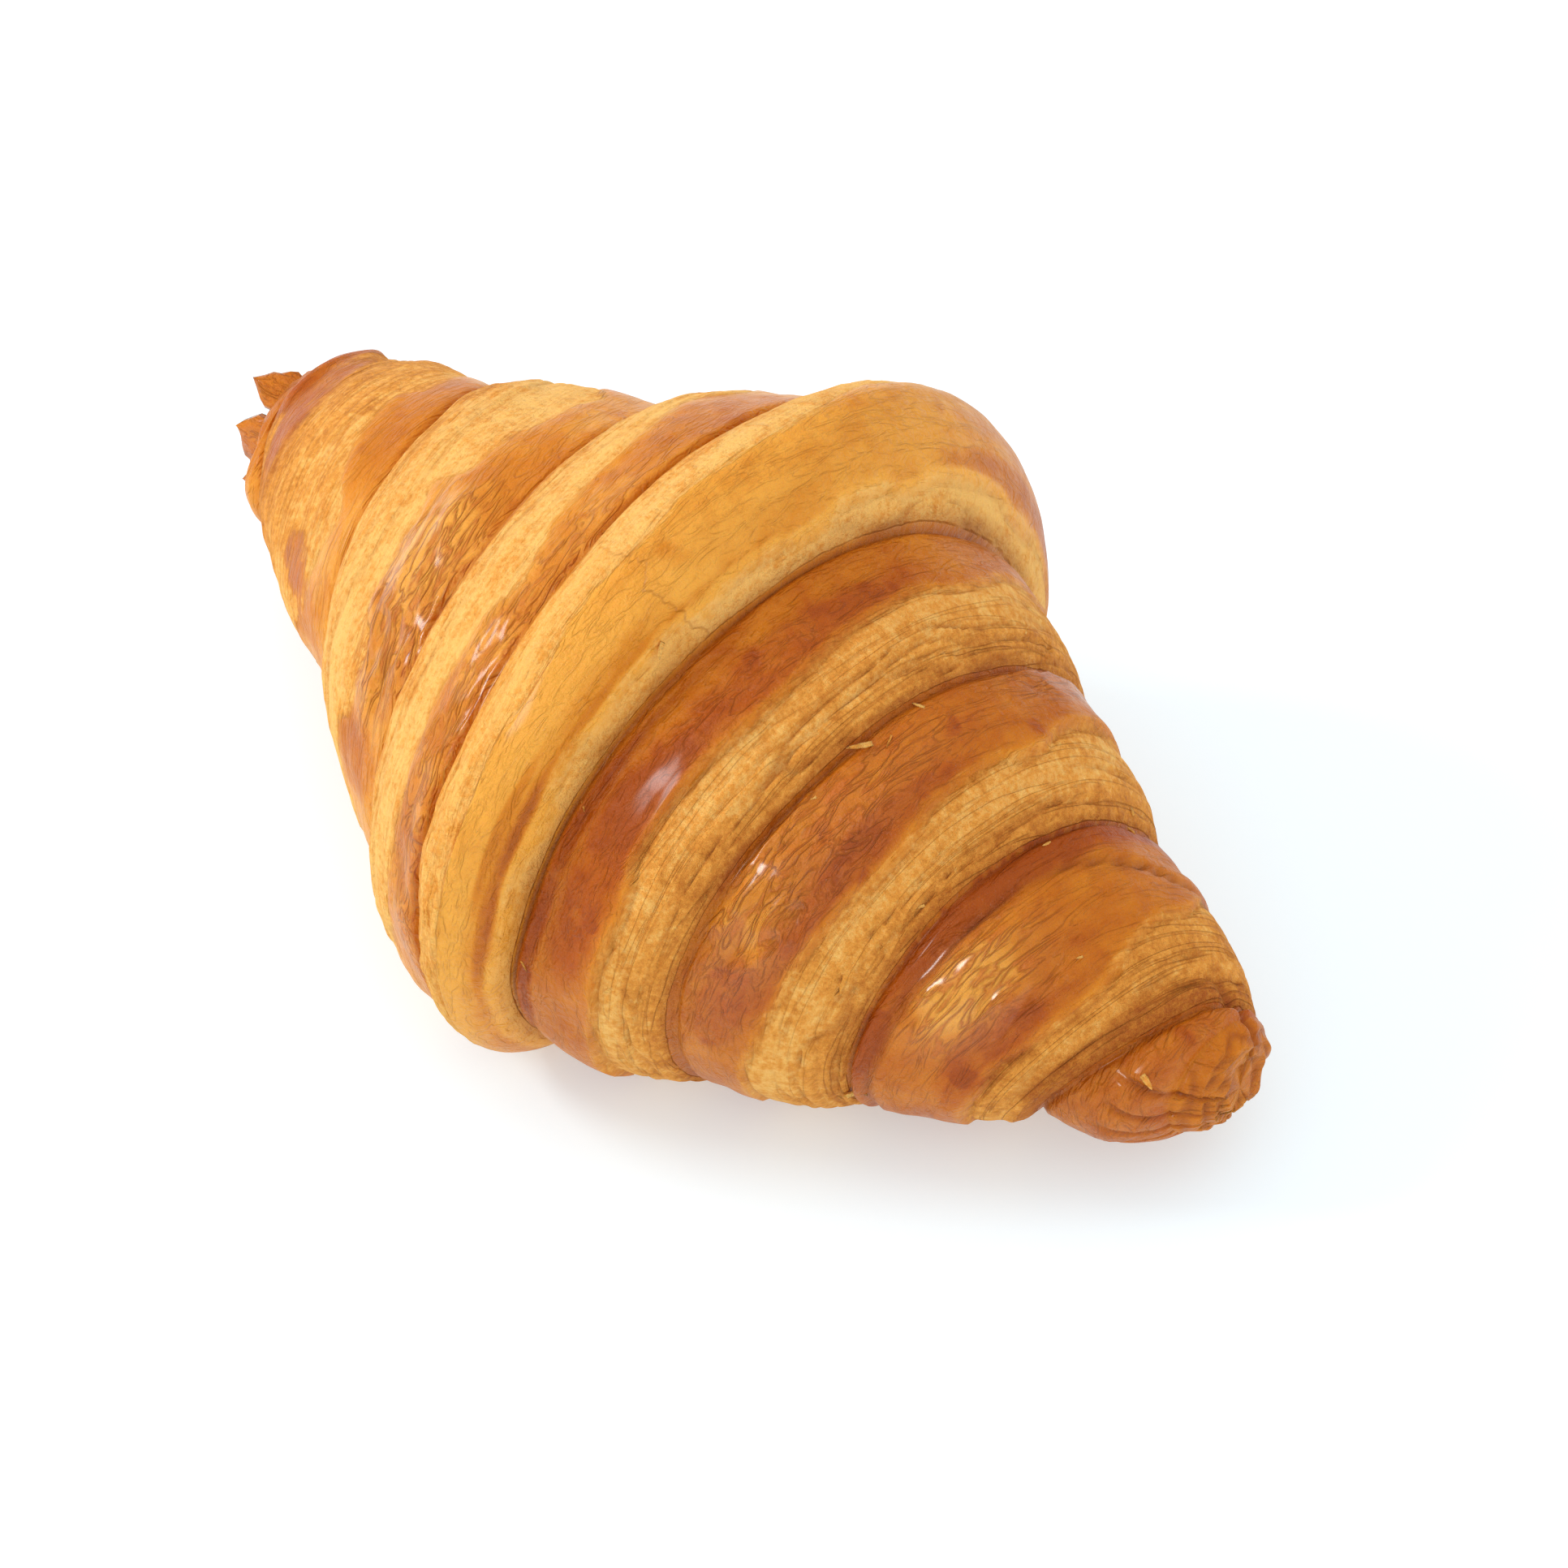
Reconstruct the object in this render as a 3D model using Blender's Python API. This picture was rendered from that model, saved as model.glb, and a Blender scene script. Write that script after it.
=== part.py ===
"""Croissant: one triangle of laminated dough, rolled up from its base to its tip and baked.

The part lies along X on its flat baked base, with +Z up and the origin under the middle of its box.
A turn counts once round the roll: 0 is the back (+Y), 0.25 the top, 0.5 the front and 0.75 the base.
The dough sheet winds outwards as its turn goes up, and its tip is tucked under the loaf.
"""

import bmesh
import bpy
import numpy as np
from mathutils import Matrix, Vector

MM = 0.001

# The roll: the sheet's two long edges are helices that run in to the middle as it winds on.
START_TURN = -4.25
TIP_TURN = 0.75 + 1 / 12
RIGHT_EDGE = (20.7 * MM, -16.9 * MM, -0.29 * MM)
LEFT_EDGE = (-4.2 * MM, 14.8 * MM, -4.23 * MM)
FLARE = 4.8 * MM
FLARE_TURN = -2.3
FLARE_TURNS = 0.4
RIM_REACH = 73 * MM
RIM_EASE = 2 * MM
TIP_TAPER_TURNS = 0.35

# The loaf: the roll's radius at the seams of its left and right halves, and how its sections stand.
LEFT_STATIONS = np.array([-75, -50, -25, -2]) * MM
LEFT_RADII = np.array([8.7, 18.7, 26.7, 44.7]) * MM
RIGHT_STATIONS = np.array([8, 25, 50, 75]) * MM
RIGHT_RADII = np.array([40.4, 36.7, 20.4, 6.6]) * MM
ROUNDING = 6 * MM
HIGH_TO_WIDE = 0.86
AXIS_HEIGHT = 28.5 * MM
END_DROP = 14.3 * MM
END_TILT = -2.1 * MM
END_BEND = 12.7 * MM
END_SKEW = -1.9 * MM
HALF_LENGTH = 75 * MM

# The bands: each layer swells between its seams, and the last turn crowns the middle.
SWELL = 1.2 * MM
SWELL_WIDTH = 6 * MM
SWELL_SKEW = 1.6
SWELL_FULLNESS = 0.6
CROWN_SHARE = 0.95
CROWN_LEFT = (1.7, 1.0)
CROWN_RIGHT = (2.2, 0.5)
COVER_BLEND_TURNS = 0.16

# The rolled ends: rings that carry the roll's rim out along and in around to its core's point.
CORE_END = 76 * MM
CORE_RINGS = ((0.7, 0.94), (0.36, 0.8), (0.14, 0.55), (0.03, 0.28))

# The base: the dough settles into a soft-cornered flat.
BASE_EASE = 3 * MM
BASE_CUT = 0.6 * MM

COLUMNS_PER_TURN = 36
ROWS_PER_SIDE = 8
WELD = 0.001 * MM
CRUST_COLOUR = (0.62, 0.27, 0.06, 1)
CRUST_ROUGHNESS = 0.55


def smooth_step(share):
    share = min(max(share, 0), 1)
    return share * share * (3 - 2 * share)


def mix(first, second, share):
    return first + (second - first) * share


def seam_radius(x, stations, radii):
    """The roll's radius at a seam: straight runs between the stations, rounded by averaging."""
    nearby = x + np.linspace(-ROUNDING, ROUNDING, 9)
    return float(np.interp(nearby, stations, radii).mean())


def helix(turn, edge, flare=0):
    """Where a long edge of the sheet lies along X, held inside the rim of the rolled end."""
    start, advance, stretch = edge
    x = start + advance * turn + stretch * turn**2
    x += flare * smooth_step((FLARE_TURN - turn) / FLARE_TURNS)
    over = min(max((abs(x) - RIM_REACH) / RIM_EASE, -1), 1)
    reach = min(abs(x), RIM_REACH + RIM_EASE) - RIM_EASE * (over + 1) ** 2 / 4
    return reach if x > 0 else -reach


def edges(turn):
    """The sheet's left and right edges as (place along X, radius), drawn together at the triangle's tip."""
    left = helix(turn, LEFT_EDGE)
    right = helix(turn, RIGHT_EDGE, FLARE)
    middle = (left + right) / 2
    taper = np.sqrt(min(max((TIP_TURN - turn) / TIP_TAPER_TURNS, 0), 1))
    left = mix(middle, left, taper)
    right = mix(middle, right, taper)
    left_radius = seam_radius(left, LEFT_STATIONS, LEFT_RADII)
    right_radius = seam_radius(right, RIGHT_STATIONS, RIGHT_RADII)
    radius = (left_radius + right_radius) / 2
    return (left, mix(radius, left_radius, taper)), (right, mix(radius, right_radius, taper))


def covered_layer(share, outer, inner):
    """Radius of a layer that runs under the next: steep at its own edge, low where it is covered."""
    height = SWELL * smooth_step(abs(outer[0] - inner[0]) / SWELL_WIDTH)
    swell = height * max(np.sin(np.pi * share**SWELL_SKEW), 0) ** SWELL_FULLNESS
    return mix(inner[1], outer[1], share) + swell


def crown_layer(share, side, left, right):
    """Radius of the last turn, which arches from its sloping left edge to its steep right edge."""
    middle = (left[1] + right[1]) / 2
    outer, (bow, steepness) = (right, CROWN_RIGHT) if side > 0 else (left, CROWN_LEFT)
    arch = max(1 - share**bow, 0) ** steepness
    return mix(middle, outer[1], share) + CROWN_SHARE * (right[0] - left[0]) / 2 * arch


def dough_surface(turn, share, side):
    """Place along X and radius of the sheet, at a share of the way from its middle to one side's edge."""
    ends = edges(turn)
    outer = ends[side > 0]
    inner = edges(min(turn + 1, TIP_TURN))[side > 0]
    bare = smooth_step((turn + 1 - TIP_TURN) / COVER_BLEND_TURNS)
    middle = mix(inner[0], (ends[0][0] + ends[1][0]) / 2, bare)
    layer = covered_layer(share, outer, inner)
    crown = crown_layer(share, side, *ends)
    return mix(middle, outer[0], share), mix(layer, crown, bare)


def axis_point(x):
    """The middle of the roll: its ends sink towards the tray and bend a little to the back."""
    share = x / HALF_LENGTH
    y = END_BEND * share**2 + END_SKEW * share
    return Vector((x, y, AXIS_HEIGHT - END_DROP * share**2 + END_TILT * share))


def settled(z):
    """Height after the soft dough has settled on the tray."""
    eased = (z + np.sqrt(z * z + BASE_EASE**2)) / 2
    return max(eased - BASE_CUT, 0)


def loaf_point(turn, share, side):
    x, radius = dough_surface(turn, share, side)
    angle = 2 * np.pi * turn
    point = axis_point(x)
    point.y += radius * np.cos(angle)
    point.z = settled(point.z + radius * HIGH_TO_WIDE * np.sin(angle))
    return point


def under_next_turn(edge):
    """An edge on the sheet's middle line that the next turn covers."""
    on_middle = all(abs(vert.co.y) < 1e-6 for vert in edge.verts)
    last = max(vert.co.x for vert in edge.verts)
    return on_middle and last < TIP_TURN - 1 + 0.5 / COLUMNS_PER_TURN


def flat_sheet():
    """The dough as a flat grid: X counts the turns, Y runs from the left edge at -1 to the right at 1."""
    length = TIP_TURN - START_TURN
    columns = round(length * COLUMNS_PER_TURN)
    sheet = bmesh.new()
    bmesh.ops.create_grid(sheet, x_segments=columns, y_segments=2 * ROWS_PER_SIDE, size=0.5)
    bmesh.ops.scale(sheet, vec=(length, 2, 1), verts=sheet.verts)
    bmesh.ops.translate(sheet, vec=(START_TURN + length / 2, 0, 0), verts=sheet.verts)
    slit = [edge for edge in sheet.edges if under_next_turn(edge)]
    bmesh.ops.split_edges(sheet, edges=slit)
    return sheet


def roll_up(sheet):
    """Winds the sheet into the loaf and joins each layer to the one that covers it."""
    rolled = {}
    for vert in sheet.verts:
        side = sum(face.calc_center_median().y for face in vert.link_faces)
        turn = START_TURN + round((vert.co.x - START_TURN) * COLUMNS_PER_TURN) / COLUMNS_PER_TURN
        share = round(abs(vert.co.y) * ROWS_PER_SIDE) / ROWS_PER_SIDE
        rolled[vert] = loaf_point(turn, share, side)
    for vert, point in rolled.items():
        vert.co = point
    bmesh.ops.remove_doubles(sheet, verts=sheet.verts, dist=WELD)


def close_end(sheet, side):
    """Carries the rim of a rolled end out along its core and round to a point."""
    end = axis_point(side * CORE_END)
    about_end = Matrix.Translation(-end)
    lip = [edge for edge in sheet.edges if edge.is_boundary and edge.verts[0].co.x * side > 0]
    for along, around in CORE_RINGS:
        made = bmesh.ops.extrude_edge_only(sheet, edges=lip)["geom"]
        ring = [item for item in made if isinstance(item, bmesh.types.BMVert)]
        lip = [item for item in made if isinstance(item, bmesh.types.BMEdge)]
        bmesh.ops.scale(sheet, vec=(along, around, around), space=about_end, verts=ring)
    bmesh.ops.pointmerge(sheet, verts=ring, merge_co=end)


def to_row_frame(loaf):
    """Puts the origin under the middle of the loaf's box."""
    points = np.array([vert.co for vert in loaf.verts])
    low = points.min(axis=0)
    high = points.max(axis=0)
    middle = (low + high) / 2
    bmesh.ops.translate(loaf, vec=(-middle[0], -middle[1], -low[2]), verts=loaf.verts)


def crust_material():
    crust = bpy.data.materials.new("baked_crust")
    crust.use_nodes = True
    shader = crust.node_tree.nodes["Principled BSDF"]
    shader.inputs["Base Color"].default_value = CRUST_COLOUR
    shader.inputs["Roughness"].default_value = CRUST_ROUGHNESS
    return crust


def build():
    for item in list(bpy.data.objects):
        bpy.data.objects.remove(item)
    loaf = flat_sheet()
    roll_up(loaf)
    close_end(loaf, -1)
    close_end(loaf, 1)
    to_row_frame(loaf)
    bmesh.ops.triangulate(loaf, faces=loaf.faces)
    bmesh.ops.recalc_face_normals(loaf, faces=loaf.faces)
    for face in loaf.faces:
        face.smooth = True

    mesh = bpy.data.meshes.new("croissant")
    loaf.to_mesh(mesh)
    loaf.free()
    mesh.materials.append(crust_material())
    croissant = bpy.data.objects.new("croissant", mesh)
    collection = bpy.data.collections.new("croissant")
    bpy.context.scene.collection.children.link(collection)
    collection.objects.link(croissant)


build()
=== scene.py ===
"""Croissant: the rolled and baked loaf with its glazed bands, torn laminated edges and loose flakes.

The loaf lies along X on its base, with +Z up. A turn counts once round the roll: 0 is the back (+Y),
0.25 the top, 0.5 the front and 0.75 the base. The dough winds outwards as its turn goes up.
"""

import bmesh
import bpy
import numpy as np
from bpy.props import FloatProperty, FloatVectorProperty, IntProperty, PointerProperty
from bpy.types import Operator, Panel, PropertyGroup
from mathutils import Matrix, Vector


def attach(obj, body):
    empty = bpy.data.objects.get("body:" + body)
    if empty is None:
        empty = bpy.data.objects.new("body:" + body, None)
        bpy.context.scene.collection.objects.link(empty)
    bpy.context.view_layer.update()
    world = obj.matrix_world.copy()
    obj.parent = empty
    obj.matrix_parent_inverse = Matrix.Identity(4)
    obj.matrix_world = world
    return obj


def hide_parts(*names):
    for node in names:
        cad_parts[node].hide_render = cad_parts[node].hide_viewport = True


bl_info = {
    "name": "Croissant",
    "version": (1, 0, 0),
    "blender": (4, 5, 0),
    "location": "View3D > Sidebar > Croissant",
    "description": "Rolls, glazes and lights a laminated croissant",
    "category": "Object",
}

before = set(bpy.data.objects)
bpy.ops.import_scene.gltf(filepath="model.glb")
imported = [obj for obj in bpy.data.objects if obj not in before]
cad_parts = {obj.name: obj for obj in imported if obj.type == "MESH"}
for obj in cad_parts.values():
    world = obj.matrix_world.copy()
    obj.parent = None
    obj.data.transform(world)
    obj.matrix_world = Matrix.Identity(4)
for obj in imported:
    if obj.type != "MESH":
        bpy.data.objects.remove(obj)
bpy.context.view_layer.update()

MM = 0.001
CM = 0.01
LEFT = -1
RIGHT = 1

# The roll: the sheet's two long edges are helices that run in to the middle as it winds on.
START_TURN = -4.25
BASE_TURN = 0.75
TIP_TURN = BASE_TURN + 1 / 12
RIGHT_EDGE = (20.7, -16.9, -0.29)
LEFT_EDGE = (-4.2, 14.8, -4.23)
FLARE = 4.8
FLARE_TURN = -2.3
FLARE_TURNS = 0.4
RIM_REACH = 73
RIM_EASE = 2
TIP_TAPER_TURNS = 0.35

# The loaf, in millimetres: the roll's radius at its seams, and how its sections stand.
LEFT_STATIONS = (-75, -50, -25, -2)
LEFT_RADII = (8.7, 18.7, 26.7, 44.7)
RIGHT_STATIONS = (8, 25, 50, 75)
RIGHT_RADII = (40.4, 36.7, 20.4, 6.6)
ROUNDING = 6
HIGH_TO_WIDE = 0.86
AXIS_HEIGHT = 28.5
END_DROP = 14.3
END_TILT = -2.1
END_BEND = 12.7
END_SKEW = -1.9
HALF_LENGTH = 75
BOX_MIDDLE_Y = 2.42

# The bands: each layer swells between its seams, and the last turn crowns the middle.
SWELL = 2.4
SWELL_WIDTH = 6
SWELL_SKEW = 1.6
SWELL_FULLNESS = 0.6
CROWN_SHARE = 0.95
CROWN_LEFT = (1.7, 1.0)
CROWN_RIGHT = (2.2, 0.5)
COVER_BLEND_TURNS = 0.16
RUN_STEPS = 600
# The ends and the base: where the core ends along X, the rings that close it, and how the dough settles.
CORE_END = 76
CAP_RINGS = 12
BASE_EASE = 3
BASE_CUT = 0.6
# How near two points are the same one: on the rolled loaf, and on the flat sheet.
WELD = 0.001 * MM
FLAT_WELD = 1e-6

# Where rows of the dough lie between a band's inner seam and its outer edge.
ROW_COUNTS = (0, 0.12, 0.32, 1)
ROW_SHARES = (0, 0.06, 0.42, 1)

# How far out the glazed skin reaches on each band, as a share of its width at some angles round the roll.
GLAZE_REACH = {
    (RIGHT, 0): ((0, 30, 105, 110, 120, 135, 150, 190), (0.82, 0.86, 0.88, 0.76, 0.80, 0.85, 0.88, 0.94)),
    (RIGHT, 1): ((30, 60, 90, 120, 150, 200), (0.43, 0.50, 0.53, 0.56, 0.58, 0.55)),
    (RIGHT, 2): ((30, 60, 90, 120, 150, 180, 205), (0.46, 0.55, 0.62, 0.62, 0.58, 0.52, 0.43)),
    (RIGHT, 3): ((40, 75, 110, 150, 190), (0.52, 0.58, 0.67, 0.72, 0.70)),
    (LEFT, 0): ((45, 60, 90, 105, 120, 150, 170), (0.24, 0.22, 0.19, 0.17, 0.11, 0.04, -0.02)),
    (LEFT, 1): ((60, 90, 120, 150, 180), (0.50, 0.42, 0.37, 0.40, 0.48)),
    (LEFT, 2): ((60, 90, 110, 150, 180), (0.34, 0.40, 0.46, 0.44, 0.42)),
    (LEFT, 3): ((60, 90, 110, 130, 180), (0.24, 0.25, 0.22, 0.14, 0.36)),
}
GLAZE_EVERYWHERE = 2.0

# Patches on the bands: side, band, angle, share, reach round in degrees, reach across in shares, strength.
TOASTED = (
    (RIGHT, 0, 150, 0.52, 12, 0.07, 0.35),
    (RIGHT, 0, 163, 0.70, 20, 0.08, 0.45),
    (RIGHT, 0, 135, 0.74, 30, 0.05, 0.30),
    (RIGHT, 0, 20, 0.70, 26, 0.10, 0.30),
    (RIGHT, 1, 148, 0.36, 24, 0.16, 0.42),
    (RIGHT, 1, 98, 0.40, 26, 0.14, 0.32),
    (RIGHT, 1, 165, 0.10, 40, 0.05, 0.45),
    (RIGHT, 2, 172, 0.28, 13, 0.13, 0.24),
    (RIGHT, 2, 105, 0.34, 26, 0.24, 0.22),
    (RIGHT, 2, 120, 0.52, 30, 0.08, 0.25),
    (RIGHT, 3, 162, 0.60, 24, 0.12, 0.42),
    (RIGHT, 3, 100, 0.06, 90, 0.08, 0.55),
    (RIGHT, 3, 130, 0.95, 70, 0.07, 0.24),
    (LEFT, 0, 120, 0.96, 18, 0.06, 0.22),
    (LEFT, 1, 72, 0.26, 16, 0.20, 0.26),
    (LEFT, 1, 118, 0.95, 24, 0.06, 0.25),
    (LEFT, 2, 92, 0.22, 15, 0.20, 0.16),
    (LEFT, 2, 134, 0.25, 22, 0.20, 0.10),
    (LEFT, 2, 172, 0.30, 9, 0.14, 0.36),
    (LEFT, 2, 100, 0.88, 45, 0.05, 0.14),
    (LEFT, 3, 85, 0.10, 26, 0.15, 0.22),
    (LEFT, 3, 75, 0.97, 50, 0.07, 0.42),
    (LEFT, 3, 157, 0.34, 9, 0.09, 0.30),
    (LEFT, 3, 170, 0.22, 10, 0.12, 0.22),
    (LEFT, 3, 105, 0.80, 46, 0.10, 0.30),
)
WRINKLED = (
    (RIGHT, 1, 105, 0.40, 26, 0.16, 0.35),
    (RIGHT, 2, 130, 0.28, 38, 0.26, 1.00),
    (RIGHT, 2, 48, 0.14, 16, 0.16, 0.60),
    (RIGHT, 3, 140, 0.36, 28, 0.22, 1.00),
    (RIGHT, 4, 130, 0.50, 90, 0.60, 0.30),
    (LEFT, 0, 165, 0.60, 30, 0.60, 0.50),
    (LEFT, 1, 140, 0.16, 44, 0.18, 0.70),
    (LEFT, 2, 132, 0.25, 26, 0.24, 1.00),
    (LEFT, 3, 150, 0.28, 18, 0.18, 0.40),
)
BLISTERED = (
    (RIGHT, 2, 128, 0.22, 26, 0.16, 0.45),
    (RIGHT, 3, 140, 0.34, 22, 0.17, 0.85),
    (LEFT, 2, 122, 0.30, 12, 0.14, 0.40),
)
# The turns at which the seams on the left and right run out into the rim.
RIM_TURNS = (-2.95, -3.25)
# A second fold under the third seam on the right: angle against share.
FOLD_ANGLES = (30, 55, 75, 90, 120, 200)
FOLD_SHARES = (0.44, 0.30, 0.22, 0.17, 0.14, 0.12)
# The first right band is pinched at this share, just under the crown's edge, from this angle to the front.
PINCH_SHARE = 0.115
PINCH_ANGLE = 95
# The left bands show the edge of an inner ply at this share.
PLY_SHARE = 0.70
# The angle round the roll at which the crown's film of glaze has torn, and how far a degree is there.
TEAR_ANGLE = 107
TEAR_DEGREE = 0.77

# The relief, in millimetres: how high each feature stands, how deep it sinks, or how wide it is.
SEAM_EASE = 0.6
EDGE_CREASE_WIDTH = 0.5
SEAM_CREASE_WIDTH = 0.75
LAYER_WIDTH = 1.7
FRILL_HEIGHT = 0.15
SPLIT_DEPTH = 0.6
LUMPS = {LEFT: 0.38, RIGHT: 0.12}
PUFF_HEIGHT = 1.0
BLISTER_HEIGHT = 0.7
SKIN_LINE = 0.25
SKIN_LINE_DEPTH = 0.3
FOLD_DEPTH = 0.9
PINCH_DEPTH = 0.35
RIM_HEIGHTS = {LEFT: 1.3, RIGHT: 0.8}
PLY_HEIGHT = 0.35
PLY_DEPTH = 0.45
WIDEST_GAP = 4

# Grooves in the right end: between layer edges that fan out about one angle, and beside a lobe at another.
FAN_START = 67
FAN_ANGLE = 222
FAN_EDGES = 9
FAN_DEPTH = 1.3
LOBE_ANGLE = 62
# Both blunt ends: where they start along X, and the layers and folds that show in them.
BLUNT_START = 72.5
BLUNT_EASE = 2.5
BLUNT_LAYER_WIDTH = 1.9
BLUNT_LAYER_HEIGHT = 0.30
BLUNT_FOLD_HEIGHT = 0.9

# Points of dough at the left end: base, direction, which way is out, then length, width, thickness, curl and
# cup, and how far each is baked.
TIPS = (
    ((-73.5, 11.0, 21.0), (-1, -0.30, 0.20), (0, -0.45, 0.9), (7.5, 7.5, 1.2, -0.6, -0.8), 0.45),
    ((-74.0, 5.6, 14.6), (-1, -0.02, 0.34), (-0.15, -1, 0.25), (6.6, 11.5, 1.2, 0.3, -0.6), 0.42),
    ((-74.5, 4.2, 9.6), (-1, 0.06, -0.05), (-0.15, -1, 0.1), (4.2, 8.0, 1.1, 0.3, -0.5), 0.45),
)
# Flakes: side, band, angle and share of their place, their sizes as for the tips, and a swing off the band.
FLAKES = (
    ((RIGHT, 2, 101, 0.075), (3.4, 0.75, 0.18, 0.5, 0.12), -0.35),
    ((RIGHT, 4, 143, 0.60), (1.9, 0.9, 0.2, 0.9, 0.25), 1.3),
    ((RIGHT, 2, 208, 0.97), (2.6, 1.2, 0.22, 0.9, 0.30), 1.9),
    ((RIGHT, 0, 112, 0.80), (2.2, 0.7, 0.15, 0.5, 0.10), 0.5),
)

# Points and flakes of pastry: their grid, and how thick the small flakes are.
PETAL_GRID = (8, 4)
FLAKE_THICKNESS = 0.12
# How far along and across the band a petal's place is compared with its neighbours, to find which way is out.
PROBE_TURNS = 0.004
PROBE_SHARE = 0.04
# How far inside the glazed skin, or outside it, a whole piece of pastry counts as lying.
ALL_GLAZED = 3.0
ALL_TORN = -3.0

CRUST_NAME = "egg_washed_crust"
# The crust's grains: the map each follows, its stretch, scale, detail, roughness and distortion.
GRAINS = {
    "layers": ("roll", (0.14, 4.4, 1), 1.0, 3.0, 0.6, 0.35),
    "fibres": ("roll", (0.45, 15.0, 1), 1.0, 3.0, 0.6, 0.3),
    "hairs": ("roll", (0.40, 6.0, 1), 1.0, 2.0, 0.5, 0.8),
    "streaks": ("roll", (1.6, 4.5, 1), 1.0, 5.0, 0.65, 0.8),
    "creasing": ("roll", (2.6, 6.5, 1), 1.0, 2.0, 0.5, 0.9),
    "blotches": ("place", (1, 1, 1), 95.0, 5.0, 0.62, 0.0),
    "freckles": ("place", (1, 1, 1), 210.0, 1.0, 0.4, 0.0),
    "bubbles": ("place", (1, 1, 1), 300.0, 2.0, 0.5, 0.4),
    "mottling": ("place", (1, 1, 1), 520.0, 4.0, 0.7, 0.0),
    "specks": ("place", (1, 1, 1), 1250.0, 3.0, 0.7, 0.0),
}
# The marks that each piece stores for the crust, in the order that a petal is given them.
MARKS = ("gap", "tear", "toast", "dark", "wrinkled")
PETAL_WRINKLED = 0.3
TOASTED_EDGE = (0.61, 0.212, 0.024)
BROWN_EDGE = (0.40, 0.100, 0.010)
BURNT_SKIN = (0.38, 0.068, 0.001)
CREASE_RED = (0.56, 0.130, 0.006, 1)
TEAR_BROWN = (0.50, 0.15, 0.012, 1)
FILM_GOLD = (0.86, 0.33, 0.018, 1)
CRACK_BROWN = (0.47, 0.125, 0.010, 1)
RELIEF_HEIGHT = 0.0009
SOFT_GLOW = (1.0, 0.35, 0.12)
SOFT_GLOW_DEPTH = 0.003

# The stage, in metres: the floor's half width, the lamps' places and sizes, and what the camera aims at.
FLOOR_REACH = 3
KEY_LAMP = ((-0.62, -0.42, 0.56), 0.26)
GLINT_LAMP = ((0.24, -0.60, 0.66), 0.24)
AIM = (0.01112, 0.00435, 0.0185)
NEAREST_SEEN = 0.01
SENSOR_WIDTH_MM = 36
# How much dimmer the even light looks to gloss, as a share.
GLOSS_DIMMING = 0.7


# ---------------------------------------------------------------- settings


class LoafSettings(PropertyGroup):
    columns: IntProperty(
        name="Columns", description="Columns of the dough sheet in one turn of the roll", default=192, min=24
    )
    rows: IntProperty(
        name="Rows", description="Rows of the dough sheet on each side of its middle line", default=48, min=8
    )
    crease: FloatProperty(
        name="Crease depth", description="How deep the seams between bands sink", default=1.1, min=0
    )
    lamination: FloatProperty(
        name="Lamination height", description="Height of the ridges on the torn edges", default=0.34, min=0
    )
    wrinkles: FloatProperty(
        name="Wrinkle height", description="Height of the wrinkles in the loose skin", default=0.65, min=0
    )
    lip: FloatProperty(
        name="Skin step", description="Step from the glazed skin down to the torn edge", default=0.6, min=0
    )


class FlakeSettings(PropertyGroup):
    count: IntProperty(name="Flakes", description="Loose flakes on the crust", default=14, min=0)
    seed: IntProperty(name="Seed", description="Draws another scatter of flakes", default=4, min=0)


class CrustSettings(PropertyGroup):
    cream: FloatVectorProperty(
        name="Cream", description="Palest torn edge", subtype="COLOR", size=3, default=(0.92, 0.505, 0.130)
    )
    straw: FloatVectorProperty(
        name="Straw", description="Usual torn edge", subtype="COLOR", size=3, default=(0.80, 0.325, 0.048)
    )
    honey: FloatVectorProperty(
        name="Honey", description="Palest glazed skin", subtype="COLOR", size=3, default=(0.90, 0.405, 0.052)
    )
    amber: FloatVectorProperty(
        name="Amber", description="Usual glazed skin", subtype="COLOR", size=3, default=(0.68, 0.215, 0.008)
    )
    chestnut: FloatVectorProperty(
        name="Chestnut", description="Well-baked skin", subtype="COLOR", size=3, default=(0.46, 0.093, 0.001)
    )
    # The colour of the painted shade in the seams, creases and recesses.
    shade_umber: FloatVectorProperty(
        name="Umber", description="Darkest seams", subtype="COLOR", size=3, default=(0.27, 0.046, 0.005)
    )
    roughness: FloatProperty(
        name="Glaze roughness", description="Roughness of the glazed skin", default=0.40, min=0, max=1
    )


class StageSettings(PropertyGroup):
    floor_colour: FloatVectorProperty(
        name="Floor", description="Colour of the floor", subtype="COLOR", size=3, default=(0.61, 0.71, 0.76)
    )
    glow: FloatProperty(
        name="Floor glow", description="Light that comes up through the pale floor", default=0.37, min=0
    )
    sky: FloatProperty(
        name="Fill", description="Strength of the even light from all round", default=1.03, min=0
    )
    key: FloatProperty(
        name="Key", description="Power of the large soft light", default=3.2, min=0, unit="POWER"
    )
    glint: FloatProperty(
        name="Glint", description="Power of the lamp that only gloss shows", default=4.0, min=0, unit="POWER"
    )
    azimuth: FloatProperty(
        name="Azimuth", description="Camera's place round the loaf from its front", default=41.96
    )
    elevation: FloatProperty(
        name="Elevation", description="Camera's height above the floor as an angle", default=47.12
    )
    distance: FloatProperty(
        name="Distance", description="Camera's distance from its aim", default=0.7, unit="LENGTH"
    )
    lens: FloatProperty(
        name="Lens", description="Focal length of the camera", default=138.95, unit="CAMERA"
    )


# ---------------------------------------------------------------- the shape of the roll


def smooth_step(share):
    share = np.clip(share, 0, 1)
    return share * share * (3 - 2 * share)


def mix(first, second, share):
    return first + (second - first) * share


def bell(distance):
    return np.exp(-(distance**2))


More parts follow.
